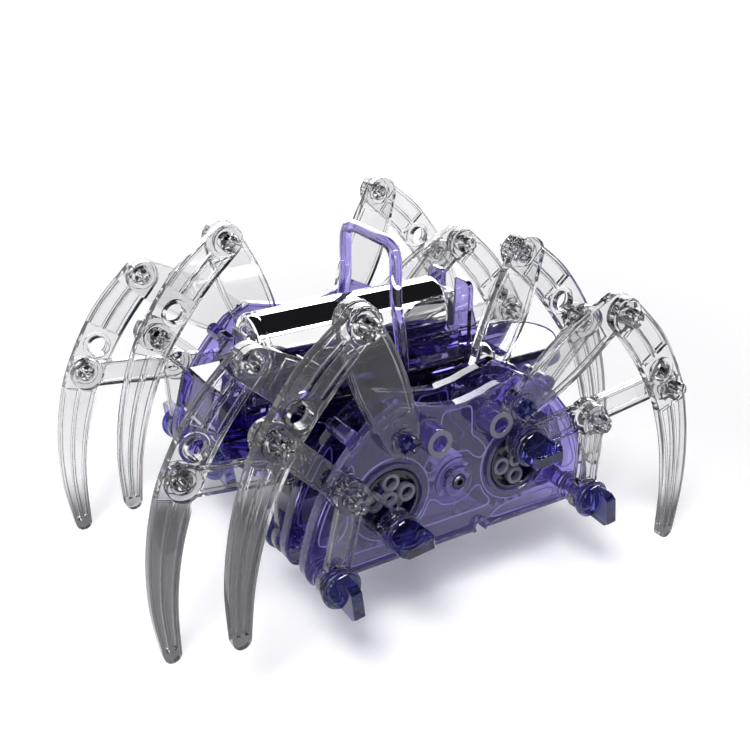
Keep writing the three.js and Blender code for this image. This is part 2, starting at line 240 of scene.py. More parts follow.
def circle(radius, sides, centre=(0, 0)):
    return [spot(centre, radius, TAU * i / sides) for i in range(sides)]


def arc(centre, r, start, end, steps):
    return [spot(centre, r, start + (end - start) * i / steps) for i in range(steps + 1)]


def bead(path, radius, d):
    """A raised half-round line along a loop on a face at height d."""
    half = [(-1, -0.6), (-1, 0.1), (-0.6, 0.75), (0, 1), (0.6, 0.75), (1, 0.1), (1, -0.6)]
    return sweep([(u, v, d) for u, v in path], [(radius * a, radius * b) for a, b in half], True)


def basis(u, v, d, at=(0, 0, 0)):
    """The matrix that turns u, v and d to the given directions and moves the origin to at."""
    return Matrix((*zip(u, v, d, at), (0, 0, 0, 1)))


def moved(mesh, matrix):
    copy = mesh.copy()
    copy.transform(matrix)
    if matrix.to_3x3().determinant() < 0:
        copy.flip_normals()
    return copy


def combined(operation, mesh, others):
    """The mesh with other closed solids joined to it or cut from it."""
    base = bpy.data.objects.new("base", mesh.copy())
    tools = [linked(bpy.data.objects.new("tool", other)) for other in others]
    for tool in tools:
        modifier = base.modifiers.new("tool", "BOOLEAN")
        modifier.operation = operation
        modifier.solver = "MANIFOLD"
        modifier.object = tool
    result = evaluated(base)
    for tool in tools:
        bpy.data.objects.remove(tool)
    return result


def union(mesh, *others):
    """One closed solid from several that overlap."""
    return combined("UNION", mesh, others)


def cut(mesh, *others):
    return combined("DIFFERENCE", mesh, others)


def group(*meshes):
    """Several closed solids in one mesh, for those that don't overlap."""
    bm = bmesh.new()
    for mesh in meshes:
        bm.from_mesh(mesh)
    result = bpy.data.meshes.new("m")
    bm.to_mesh(result)
    bm.free()
    return result


# ---------------------------------------------------------------- outlines

def between(a, b, c, d, w):
    """The smooth curve through four values, at w of the way from b to c."""
    return 0.5 * (2 * b + (c - a) * w + (2 * a - 5 * b + 4 * c - d) * w * w
                  + (3 * b - a - 3 * c + d) * w ** 3)


def catmull(points, t):
    """A point on the smooth curve through the points, with t from 0 to 1."""
    n = len(points) - 1
    s = min(max(t, 0.0), 1.0) * n
    i = min(int(s), n - 1)
    p = [points[min(max(i + k, 0), n)] for k in (-1, 0, 1, 2)]
    if isinstance(points[0], (int, float)):
        return between(*p, s - i)
    return tuple(between(*q, s - i) for q in zip(*p))


def smooth_loop(points, steps):
    """A closed smooth loop through the points."""
    out = []
    for i in range(len(points)):
        p = [points[(i + k) % len(points)] for k in (-1, 0, 1, 2)]
        out += [tuple(between(*q, j / steps) for q in zip(*p)) for j in range(steps)]
    return out


# The leg's middle line and its half width at each of the line's points.
LEG_SPINE = [(0, 0), (13, 1.1), (26.8, -0.5), (36, -3.4), (45, -7.7), (54, -13.6), (62.6, -21)]
LEG_HALF = [4, 4.5, 4.3, 3.9, 3.4, 2.8, 2]


def leg_at(t, offset):
    here = catmull(LEG_SPINE, t)
    a, b = catmull(LEG_SPINE, max(t - 0.004, 0)), catmull(LEG_SPINE, min(t + 0.004, 1))
    way = Vector((b[0] - a[0], b[1] - a[1])).normalized()
    return here[0] - way.y * offset, here[1] + way.x * offset


def leg_outline(inset=0.0):
    steps = 44
    outer = [leg_at(i / steps, catmull(LEG_HALF, i / steps) - inset) for i in range(steps + 1)]
    inner = [leg_at(i / steps, inset - catmull(LEG_HALF, i / steps)) for i in range(steps + 1)]
    tip, top = leg_at(1, 0), leg_at(0, 0)
    a, b = leg_at(0.996, 0), leg_at(0.004, 0)
    heading = math.atan2(tip[1] - a[1], tip[0] - a[0])
    back = math.atan2(b[1] - top[1], b[0] - top[0])
    tip_arc = arc(tip, LEG_HALF[-1] - inset, heading + math.pi / 2, heading - math.pi / 2, 12)[1:-1]
    top_arc = arc(top, LEG_HALF[0] - inset, back - math.pi / 2, back - 3 * math.pi / 2, 18)[1:-1]
    return outer + tip_arc + inner[::-1] + top_arc


def leg_band(t0, t1, near, far):
    """A pocket between two offsets from the leg's middle line; each is a function of t."""
    steps = 20
    ts = [t0 + (t1 - t0) * i / steps for i in range(steps + 1)]
    return [leg_at(t, far(t)) for t in ts] + [leg_at(t, near(t)) for t in reversed(ts)]


def make_leg():
    """A full height edge and middle rib over a thinner web, with a ring at each hole."""
    rail, rib = 0.85, 0.42
    low, high = LAYER_2
    centres = [(0, 0), (SPARE_HOLE, 0), (LEG_TOP, 0)]

    def half(t):
        return catmull(LEG_HALF, t)

    pockets = []
    for t0, t1 in ((0.066, 0.198), (0.415, 0.972)):
        pockets.append(leg_band(t0, t1, lambda t: rib, lambda t: half(t) - rail))
        pockets.append(leg_band(t0, t1, lambda t: rail - half(t), lambda t: -rib))
    holes = [circle(r, 28, c) for c, r in zip(centres, (2.0, 2.35, 2.0))]
    edge = prism([leg_outline()] + holes + pockets, low, high, 0.16)
    web_holes = [circle(3.0, 24, c) for c in centres]
    web = prism([leg_outline(0.4)] + web_holes, low + 0.75, high - 0.75, 0.05, 0)
    rings = [tube(c, r, outer, high - 0.3, high + 0.7, 36, 0.15)
             for c, r, outer in zip(centres, (2.05, 2.4, 2.05), (3.5, 3.35, 3.35))]
    return union(edge, web, *rings)


def rocker_side(t):
    """Half of the upper rocker's width at t along it: it swells between its ends."""
    near, far, waist = 4, 4.2, 5.6
    return near + (far - near) * t + (waist - (near + far) / 2) * math.sin(math.pi * t)


def rocker_outline(length):
    steps = 24
    upper = [(length * i / steps, rocker_side(i / steps)) for i in range(1, steps)]
    end = arc((length, 0), rocker_side(1), math.pi / 2, -math.pi / 2, 18)
    start = arc((0, 0), rocker_side(0), -math.pi / 2, -3 * math.pi / 2, 18)
    return upper + end + [(u, -v) for u, v in reversed(upper)] + start


def make_upper_rocker():
    """A plate with a shallow pocket in its back, a ring at its pivot and a snap pin at the knee."""
    low, high = LAYER_1
    knee = (UPPER_LENGTH, 0)
    loops = [rocker_outline(UPPER_LENGTH), circle(1.95, 28), circle(PIN_BORE, 16, knee)]
    solid = prism(loops, low, high, 0.18)
    steps, wall = 16, 0.95
    ts = [0.17 + (0.84 - 0.17) * i / steps for i in range(steps + 1)]
    upper = [(UPPER_LENGTH * t, rocker_side(t) - wall) for t in ts]
    hollow = prism([upper + [(u, -v) for u, v in reversed(upper)]], low - 1, low + 0.9, 0.2)
    ring = tube((0, 0), 2.0, 3.3, high - 0.3, high + 0.3, 32, 0.15)
    step = tube(knee, 0.8, 2.9, high - 0.3, high + 0.42, 32, 0.15)
    return union(cut(solid, hollow), ring, step, snap_pin(knee, high, PIN_TOP))


def snap_pin(centre, low, high, stem=1.75, barb=2.35, turned=0.4):
    """A hollow post whose end is split into four hooked fingers."""
    root = tube(centre, PIN_BORE, stem, low - 0.6, low + 0.9, 28, 0.08)
    profile = [(0.8, low + 0.8), (stem, low + 0.8), (stem, high - 2.0), (barb, high - 1.65),
               (barb, high - 1.0), (stem + 0.25, high), (0.95, high), (0.8, high - 0.15)]
    gap, quarter = 0.22, TAU / 4
    fingers = [lathe(profile, centre, 8, True, turned + k * quarter + gap, quarter - 2 * gap)
               for k in range(4)]
    return union(root, *fingers)


def strut(u0, u1, half, low, high, rail=0.75):
    """A channelled bar along u: full height at both edges, with a thinner web between."""
    end, web = 0.9, 0.75
    edges = prism(
        [[(u0, -half), (u1, -half), (u1, half), (u0, half)],
         [(u0 + end, rail - half), (u0 + end, half - rail), (u1 - end, half - rail),
          (u1 - end, rail - half)]],
        low, high, 0.16)
    a, b, side = u0 + 0.4, u1 - 0.4, half - 0.3
    middle = prism([[(a, -side), (b, -side), (b, side), (a, side)]], low + web, high - web, 0.05, 0)
    return union(edges, middle)


def make_link():
    """The crank pin is at 0, the middle pin at LINK_INNER and the leg pin at the end."""
    low, high = LAYER_1
    end = (LINK_INNER + LINK_OUTER, 0)
    inner = strut(2.9, LINK_INNER - 2.6, 3.0, low, high)
    outer = strut(LINK_INNER + 2.6, end[0] - 2.6, 3.0, low, high)
    eye = tube((0, 0), 2.7, 4.1, low, high + 0.15, 40, 0.3)
    lip = tube((0, 0), 2.75, 3.6, high - 0.2, high + 0.42, 40, 0.15)
    middle = tube((LINK_INNER, 0), PIN_BORE, 3.9, low, high, 36, 0.3)
    head = tube(end, PIN_BORE, 3.9, low, high, 36, 0.3)
    step = tube(end, 0.8, 2.7, high - 0.3, high + 0.42, 32, 0.15)
    return union(inner, outer, eye, lip, middle, head, step, snap_pin(end, high, PIN_TOP, turned=0.9))


def make_lower_rocker():
    low, high = LAYER_2
    end = (LOWER_LENGTH, 0)
    bar = strut(2.7, LOWER_LENGTH - 2.5, 2.7, low, high, 0.7)
    eye = tube((0, 0), 1.9, 3.9, low, high, 36, 0.35)
    groove = tube((0, 0), 2.2, 3.4, high - 0.2, high + 0.28, 36, 0.12)
    head = tube(end, PIN_BORE, 3.7, low, high, 36, 0.3)
    step = tube(end, 0.8, 2.6, high - 0.2, high + 0.4, 32, 0.15)
    return union(bar, eye, groove, head, step, snap_pin(end, high, PIN_TOP, turned=0.1))


def make_cap(low):
    """A turn-lock cap: two stacked discs with a thumb vane that stands across them along u."""
    steps = [(0, 0), (3.3, 0), (3.6, 0.25), (3.6, 0.55), (3.4, 0.65), (3.4, 0.8), (4.2, 0.85), (4.45, 1.05),
             (4.45, 1.7), (4.2, 1.9), (3.95, 1.95), (3.9, 2.5), (3.75, 2.65), (0, 2.65)]
    body = lathe([(r, low + d) for r, d in steps], sides=56)
    outline = [(-3.65, 1.6), (3.65, 1.6), (4.1, 6.8), (3.0, 8.2), (-3.0, 8.2), (-4.1, 6.8)]
    vane = prism([outline], -1.25, 1.25, 0.2)
    return union(body, moved(vane, basis(X, Z, Y, (0, 0, low))))


# ---------------------------------------------------------------- materials

def feed(tree, target, inputs):
    """Sets a node's inputs. One that is given another node's socket is linked to it."""
    for name, value in inputs.items():
        if isinstance(value, bpy.types.NodeSocket):
            tree.links.new(value, target.inputs[name])
        else:
            target.inputs[name].default_value = value


def node(tree, kind, output, inputs={}, **settings):
    """Adds a shader node and gives one of its outputs."""
    made = tree.nodes.new("ShaderNode" + kind)
    for name, value in settings.items():
        setattr(made, name, value)
    feed(tree, made, inputs)
    return made.outputs[output]


def new_material(name):
    material = bpy.data.materials.new(name)
    material.use_nodes = True
    return material, material.node_tree, material.node_tree.nodes["Principled BSDF"]


def moulded(name, colour, rough, scale, bump, inputs):
    """A material with moulding marks: slow drifts of colour and gloss, and a very shallow ripple."""
    material, tree, bsdf = new_material(name)
    place = node(tree, "TexCoord", "Object")
    slow = node(tree, "TexNoise", "Fac", {"Scale": scale, "Detail": 3, "Vector": place})
    gloss = node(tree, "MapRange", "Result", {"To Min": rough[0], "To Max": rough[1], "Value": slow})
    dark, light = [(*[min(c * k, 1) for c in colour], 1) for k in (0.93, 1.05)]
    tint = node(tree, "Mix", "Result", {"A": dark, "B": light, "Factor": slow}, data_type="RGBA")
    ripple = node(tree, "Bump", "Normal", {"Strength": bump, "Distance": 0.0004, "Height": slow})
    feed(tree, bsdf, {**inputs, "Roughness": gloss, "Base Color": tint, "Normal": ripple})
    return material


def clear_plastic(slot, name, colour, shade, rough=(0.0, 0.02), bump=0.02, weight=1.0):
    """See-through plastic that lets the lamps through to what is behind it."""
    material = moulded(name, colour, rough, 45, bump, {"Transmission Weight": weight, "IOR": 1.5})
    tree = material.node_tree
    in_shadow = node(tree, "LightPath", "Is Shadow Ray")
    pale = node(tree, "BsdfTransparent", "BSDF", {"Color": (*shade, 1)})
    plastic = tree.nodes["Principled BSDF"].outputs["BSDF"]
    both_ways = node(tree, "MixShader", "Shader", {"Fac": in_shadow, 1: plastic, 2: pale})
    feed(tree, tree.nodes["Material Output"], {"Surface": both_ways})
    return slot, material


def metal(slot, name, colour, rough, scale=300, bump=0.05):
    return slot, moulded(name, colour, rough, scale, bump, {"Metallic": 1.0})


def plain(slot, name, colour, rough):
    return slot, moulded(name, colour, rough, 400, 0.15, {})


# Each finish is its slot and its material.
CLEAR = clear_plastic("clear_plastic", "clear_plastic", (0.86, 0.86, 0.865), (0.80, 0.80, 0.81), bump=0.008)
INDIGO, PAINTED_LIGHT_PLATES, PAINTED_SHADE_INDIGO, CAPS = [
    clear_plastic("indigo_plastic", name, colour, shade, bump=bump, weight=weight)
    for name, colour, shade, bump, weight in (
        ("indigo_plastic", (0.37, 0.32, 0.74), (0.58, 0.58, 0.62), 0.01, 1.0),
        # The outer plates' copy is lighter, which is painted light, and a little less clear, which is a satin
        # finish.
        ("indigo_painted_light_plate_plastic", (0.40, 0.35, 0.80), (0.58, 0.58, 0.62), 0.01, 0.95),
        # The near-black copy of the indigo is painted shade for the tub, the crank cores and the tail's hem.
        ("indigo_painted_shade_plastic", (0.065, 0.055, 0.22), (0.5, 0.5, 0.53), 0.012, 1.0),
        ("indigo_cap_plastic", (0.14, 0.15, 0.58), (0.5, 0.5, 0.56), 0.012, 1.0))]
FROST, RIDGE = [
    clear_plastic("indigo_plastic", name, colour, (0.6, 0.6, 0.66), (0.08, 0.16), weight=weight)
    for name, colour, weight in (
        ("frosted_ring_plastic", (0.13, 0.13, 0.18), 0.2), ("indigo_ridge_plastic", (0.42, 0.38, 0.8), 0.6))]
CHROME = metal("chrome_cell", "cell_chrome", (0.93, 0.93, 0.94), (0.02, 0.05), scale=60, bump=0.02)
MOTOR = metal("motor_metal", "motor_plating", (0.82, 0.82, 0.84), (0.08, 0.16))
STEEL = metal("steel", "contact_steel", (0.7, 0.71, 0.73), (0.15, 0.3))
DARK = metal("steel", "shaft_steel", (0.06, 0.06, 0.08), (0.16, 0.28))
NYLON = plain("nylon", "gear_nylon", (0.80, 0.79, 0.75), (0.4, 0.55))
RED = plain("red_wire", "red_insulation", (0.5, 0.03, 0.03), (0.35, 0.5))
BLACK = plain("black_wire", "black_insulation", (0.02, 0.02, 0.022), (0.35, 0.5))


def piece(name, mesh, matrix, body, finish, replaces=None, smooth=32):
    """Makes a shown piece from a mesh in millimetres, in place, riding on its body."""
    slot, material = finish
    data = moved(mesh, matrix)
    data.name = name
    ob = linked(bpy.data.objects.new(name, data))
    data.materials.clear()
    data.materials.append(material)
    data.shade_smooth()
    data.set_sharp_from_angle(angle=math.radians(smooth))
    # Large flat faces stay flat up to their rounded edges.
    even = ob.modifiers.new("even", "WEIGHTED_NORMAL")
    even.keep_sharp = True
    even.weight = 100
    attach(ob, body)
    if replaces:
        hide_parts(replaces)


TO_METRES = Matrix.Scale(MM, 4)


def layer_matrix(a, b, side, y, out):
    """From u, v and d in a housing's layers to the row's frame, with u running from a to b."""
    along = Vector((b[0] - a[0], b[1] - a[1])).normalized()
    u, v = (side * along.x, 0, along.y), (-side * along.y, 0, along.x)
    return TO_METRES @ basis(u, v, (0, out, 0), (side * a[0], y, a[1]))


def flat_matrix(x, y, z, out=1):
    return TO_METRES @ basis(X, Z, (0, out, 0), (x, y, z))


# ---------------------------------------------------------------- legs

def pivot(name, side):
    x, _, z = joint_place(name)
    return side * x, z


leg_mesh = make_leg()
upper_mesh = make_upper_rocker()
link_mesh = make_link()
lower_mesh = make_lower_rocker()
crank_plug = lathe([(0, 6.2), (2.6, 6.2), (2.6, 8.75), (0, 8.75)], sides=36)
crank_cap_mesh = union(make_cap(LAYER_1[1] + 0.5), crank_plug)
lower_cap_mesh = make_cap(LAYER_2[1] + 0.35)

for hand, facing in HANDS:
    housing_y = joint_place(f"{hand}_rear_crankshaft_spin")[1]
    for face, out in (("outer", facing), ("inner", -facing)):
        for end, side in ENDS:
            name = f"{hand}_{face}_{end}"
            up = (out > 0) == (end == "front")
            crank = (CRANK_X, CRANK_Z + (CRANK_THROW if up else -CRANK_THROW))
            upper = pivot(f"{name}_upper_rocker_swing", side)
            top = pivot(f"{name}_leg_knee", side)
            pin = pivot(f"{name}_link_turn", side)
            lower = pivot(f"{name}_lower_rocker_swing", side)
            share = LINK_INNER / (LINK_INNER + LINK_OUTER)
            middle = [a + (b - a) * share for a, b in zip(crank, pin)]
            for shown, part, mesh, ends in (
                    ("rocker", f"{name}_upper_rocker", upper_mesh, (upper, top)),
                    ("leg", f"{name}_leg", leg_mesh, (top, pin)),
                    ("link", f"{name}_link", link_mesh, (crank, pin)),
                    ("lower_rocker", f"{name}_lower_rocker", lower_mesh, (lower, middle))):
                placed = layer_matrix(*ends, side, housing_y, out)
                piece(f"{name}_{shown}_clear", mesh, placed, part, CLEAR, part)
            for cap, mesh, at, turn, body in (
                    ("crank_cap", crank_cap_mesh, crank, CRANK_CAP_TURN, f"{name}_link"),
                    ("lower_cap", lower_cap_mesh, lower, LOWER_CAP_TURN, "body")):
                aim = (at[0] + side * math.cos(turn), at[1] + math.sin(turn))
                piece(f"{name}_{cap}", mesh, layer_matrix(at, aim, side, housing_y, out), body, CAPS)


# ---------------------------------------------------------------- housings

# The right half of a plate's outline, from the middle of its saddle down to its lower corner.
PLATE_TOP = [(0, 49.1), (5, 49.8), (10.4, 51.2), (15.4, 52.4)]
PLATE_SIDE = [(21.5, 49.4), (27, 44), (31.5, 38), (34.6, 32), (36.6, 25.5), (37.4, 20.5), (35.6, 16.7),
              (32, 15.9)]


def at_side(place, side):
    """A place on one end of a plate, at the frame's height."""
    return side * place[0], place[1] + LIFT
def raised(points):
    return [(x, z + LIFT) for x, z in points]


def mirrored_loop(half):
    return half + [(-x, z) for x, z in reversed(half) if abs(x) > 1e-6]


def plate_outline():
    top = [catmull(PLATE_TOP, i / 10) for i in range(11)]
    return mirrored_loop(raised(top + [catmull(PLATE_SIDE, i / 28) for i in range(29)]))


def inset_loop(loop, distance):
    """The loop moved inwards; it runs clockwise."""
    out = []
    n = len(loop)
    for i in range(n):
        a, b = Vector(loop[i - 1]), Vector(loop[(i + 1) % n])
        way = (b - a).normalized()
        out.append((loop[i][0] + way.y * distance, loop[i][1] - way.x * distance))
    return out


def make_plate():
    low, high = PLATE
    outline = plate_outline()
    cranks = [(s * CRANK_X, CRANK_Z) for s in SIDES]
    shaft = (0, CRANK_Z)
    notch = at_side(NOTCH, 1)
    bottom = min(z for _, z in outline)
    dip = math.asin((bottom - notch[1]) / NOTCH_R)
    # The notch opens the bottom edge, so the outline takes it in.
    around = []
    for (x, z), (nx, nz) in zip(outline, outline[1:] + outline[:1]):
        around.append((x, z))
        if x > notch[0] > nx and max(z, nz) < bottom + 1:
            around += arc(notch, NOTCH_R, dip, math.pi - dip, 20)
    windows = [circle(7.5, 56, c) for c in cranks] + [circle(1.8, 24, shaft)]
    web = prism([around] + windows, low + 0.2, high - 0.5, 0.15)
    rim = cut(prism([outline, inset_loop(outline, 1.1)], low - 0.2, high + 0.3, 0.14),
              prism([circle(1.8, 24, notch)], low - 2, high + 2, 0.1))
    notch_rim = lathe(ring_profile(NOTCH_R, 2.2, low - 0.2, high + 0.3, 0.14), notch, 30, closed=True,
                      start=dip, turn=math.pi - 2 * dip)
    parts = [web, rim, notch_rim]
    parts += [tube(c, 7.45, 8.5, low - 0.1, high + 0.2, 56, 0.25) for c in cranks]
    parts.append(tube(shaft, 1.85, 3.5, low, high + 1.1, 36, 0.25))
    parts.append(tube(shaft, 3.4, 5.2, low + 0.2, high - 0.1, 40, 0.15))
    # The post at each lower corner: three ribs, a collar and the pin that the lower rocker turns on.
    stem, pin_top = 1.75, LAYER_2[1] + 0.6
    profile = [(0.9, low), (3.35, low)]
    for k in range(3):
        d = high - 0.6 + k * 1.05
        profile += [(3.35, d), (3.35, d + 0.55), (2.9, d + 0.65), (2.9, d + 0.95)]
    profile += [(3.2, 8.3), (3.2, 8.42), (stem, 8.42), (stem, pin_top), (0.9, pin_top)]
    for s in SIDES:
        socket, peg = at_side((SOCKET_X, SOCKET_Z), s), at_side(PEG, s)
        parts.append(tube(socket, 1.75, 3.1, low, 10.0, 44, 0.3))
        parts.append(tube(socket, 2.9, 3.7, low + 0.2, high + 0.1, 40, 0.2))
        parts.append(tube(peg, 0.7, 3.4, low, high + 0.2, 36, 0.2))
        parts.append(tube(peg, 0.7, 1.6, high, LAYER_1[1] + 0.2, 28, 0.1))
        parts.append(lathe(profile, at_side(POST, s), 40, closed=True))
        parts.append(disc(at_side((25, 47), s), 1.8, -0.15, low + 0.5, 24))
        parts.append(disc(at_side((32, 20.4), s), 2.2, -0.15, low + 0.5, 24))
    return union(*parts)


def relief_loops():
    """Raised lines on a plate's outer face."""
    upper = [(0, 47.6), (3.4, 47.3), (4.0, 44.0), (4.2, 40.6), (6.4, 38.4), (8.0, 35.9), (6.8, 34.2),
             (4.8, 35.1), (2.6, 37.0)]
    lower = [(0, 24.8), (3.0, 25.3), (5.0, 27.0), (6.7, 27.2), (7.9, 24.9), (9.6, 22.6), (8.6, 21.4),
             (4.6, 21.2), (0, 21.2)]
    flange = [(10.6, 17.7), (13.2, 19.8), (20.0, 20.3), (27.0, 20.3), (28.4, 18.9), (26.6, 17.5),
              (18.0, 17.4)]
    flank = [(25.6, 41.6), (29.2, 36.9), (32.2, 31.0), (33.6, 25.6), (30.6, 24.6), (27.6, 27.0), (26.6, 32.0),
             (25.4, 36.6)]
    loops = [mirrored_loop(upper), mirrored_loop(lower)]
    loops += [[(s * x, z) for x, z in loop] for s in SIDES for loop in (flange, flank)]
    return [smooth_loop(raised(loop), 5) for loop in loops]


plate_mesh = make_plate()
LINE_RADIUS, LINE_D = 0.17, PLATE[1] - 0.5
raised_lines = relief_loops() + [circle(9.6, 60, (s * CRANK_X, CRANK_Z)) for s in SIDES]
relief = group(*[bead(loop, LINE_RADIUS, LINE_D) for loop in raised_lines])
mouths = group(*[tube(at_side((SOCKET_X, SOCKET_Z), s), 1.85, 3.0, 9.8, 10.12, 40, 0.1) for s in SIDES])
pegs = group(*[snap_pin(at_side(PEG, s), LAYER_1[1] - 0.4, LAYER_1[1] + 2.6, 1.6, 2.15, 0.2) for s in SIDES])


def gear_outline(teeth, module, phase, centre):
    pitch = teeth * module / 2
    root, tip = pitch - 1.15 * module, pitch + 0.85 * module
    tooth = ((root, -0.27), (pitch, -0.19), (tip, -0.09), (tip, 0.09), (pitch, 0.19), (root, 0.27))
    step = TAU / teeth
    return [spot(centre, r, phase + (i + t) * step) for i in range(teeth) for r, t in tooth]


def make_crank(side):
    """The crank gear between the plates, about its own axis."""
    phase = math.pi if side > 0 else math.pi / CRANK_TEETH
    lights = [circle(1.9, 24, spot((0, 0), 7.9, k * TAU / 6 + 0.5)) for k in range(6)]
    outline = gear_outline(CRANK_TEETH, GEAR_MODULE, phase, (0, 0))
    gear = prism([outline, circle(1.2, 20)] + lights, -2, 2, 0.12, 1)
    return union(gear, tube((0, 0), 1.1, 5.0, -3.2, 3.2, 40, 0.2))


def make_crank_disc(up):
    """The disc in a plate's window, and the rings that stand on it."""
    pin = math.pi / 2 if up else -math.pi / 2
    base = union(
        tube((0, 0), 0.9, 6.9, 2.7, 3.6, 56, 0.12), tube((0, 0), 6.2, 6.95, 3.2, 5.25, 56, 0.15),
        disc(spot((0, 0), CRANK_THROW * 0.8, pin), 1.9, 3.2, 5.3, 28, 0.15))
    rings = [tube((0, 0), 0.95, 1.8, 3.7, 5.0, 36, 0.12)]
    for turn in (1.72, 3.14, -1.72):
        rings.append(tube(spot((0, 0), 4.05, pin + turn), 1.3, 2.1, 3.7, 5.15, 36, 0.12))
    return base, union(*rings)


for hand, facing in HANDS:
    housing_y = joint_place(f"{hand}_rear_crankshaft_spin")[1]
    for face, out in (("outer", facing), ("inner", -facing)):
        name = f"{hand}_{face}_plate"
        placed = flat_matrix(0, housing_y, 0, out)
        # The outer plates take the lighter indigo: painted light.
        piece(f"{name}_indigo", plate_mesh, placed, "body", PAINTED_LIGHT_PLATES if face == "outer" else INDIGO, name)
        piece(f"{name}_relief", relief, placed, "body", RIDGE)
        piece(f"{name}_mouths", mouths, placed, "body", FROST)
        piece(f"{name}_pegs", pegs, placed, "body", CAPS)
    for end, side in ENDS:
        name = f"{hand}_{end}_crankshaft"
        cores, rings = [make_crank(side)], []
        for out in (-1, 1):
            flip = Matrix.Diagonal((1, 1, out, 1))
            for made, kept in zip(make_crank_disc((out > 0) == (end == "front")), (cores, rings)):
                kept.append(moved(made, flip))
        placed = flat_matrix(*joint_place(f"{name}_spin"))
        # The crank cores take the near-black indigo: painted shade between the plates.
        piece(f"{name}_indigo", union(*cores), placed, name, PAINTED_SHADE_INDIGO, name)
        piece(f"{name}_rings", group(*rings), placed, name, FROST)


# ---------------------------------------------------------------- cell and centre

UPRIGHT, CROSS = basis(X, Z, Y), basis(Y, Z, X)
PLACED = Matrix.Translation((0, 0, LIFT * MM)) @ TO_METRES


def centre_piece(name, mesh, finish, replaces=None, body="body", smooth=32):
    """A piece of the centre, which is drawn at the drawing's heights."""
    piece(name, mesh, PLACED, body, finish, replaces, smooth)


def upright(loops, y0, y1, bevel):
    """A prism with its outline in x and z."""
    return moved(prism(loops, y0, y1, bevel), UPRIGHT)


def crosswise(loops, x0, x1, bevel):
    """A prism with its outline in y and z."""
    return moved(prism(loops, x0, x1, bevel), CROSS)


def lying(profile, place, along, sides=32, closed=False):
    """A turned solid whose axis runs along Y or X from a place. The profile is (radius, distance)."""
    turn = basis(X, Z, Y, place) if along == "y" else basis(Y, Z, X, place)
    return moved(lathe(profile, (0, 0), sides, closed), turn)


def both(mesh):
    """A shape on the +Y side and its mirror image."""
    return [mesh, moved(mesh, Matrix.Diagonal((1, -1, 1, 1)))]


def rounded(u0, v0, u1, v1, r):
    """A rectangle with round corners."""
    quarter = math.pi / 2
    corners = ((u1 - r, v0 + r), (u1 - r, v1 - r), (u0 + r, v1 - r), (u0 + r, v0 + r))
    loop = []
    for i, centre in enumerate(corners):
        loop += arc(centre, r, (i - 1) * quarter, i * quarter, 5)
    return loop


low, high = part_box("cell")
CELL_X = c0, c1 = low.x / MM, high.x / MM
R = (high.y - low.y) / 2 / MM
cell_z = (low.z + high.z) / 2 / MM - LIFT
# From the flat end with its groove to the button end.
centre_piece("cell_can", lying([
    (0, c0 + 0.2), (4.6, c0 + 0.2), (4.8, c0), (6.3, c0), (6.9, c0 + 0.25), (R - 0.1, c0 + 0.7),
    (R, c0 + 1.1), (R, c0 + 1.9), (R - 0.12, c0 + 2.1), (R - 0.12, c0 + 2.4), (R, c0 + 2.6),
    (R, c1 - 3.4), (R - 0.15, c1 - 2.7), (6.6, c1 - 2.2), (5.9, c1 - 1.9), (3.6, c1 - 1.8), (2.9, c1 - 1.6),
    (2.75, c1 - 0.4), (2.5, c1 - 0.1), (1.9, c1), (0, c1)], (0, 0, cell_z), "x", 64), CHROME, "cell")

# The hoop over the cell: a round rod bent to an upright frame with slightly spread feet.
low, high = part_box("top_loop")
loop_x = (low.x + high.x) / 2 / MM
half_path = [(14.4, 39.8), (14.4, 44), (14.3, 48), (13.9, 52), (13.0, 56.5), (11.8, 60.5), (11.15, 64),
             (11, 68), (10.95, 71.5), (10.7, 73.6), (9.9, 75.2), (8.5, 76.1), (6.5, 76.45), (3, 76.5)]
path = half_path + [(0, 76.5)] + [(-y, z) for y, z in reversed(half_path)]
loop_points = [(loop_x, *catmull(path, i / 132)) for i in range(133)]
centre_piece("top_loop_rod", sweep(loop_points, circle(1.42, 24), up=X), INDIGO, "top_loop")


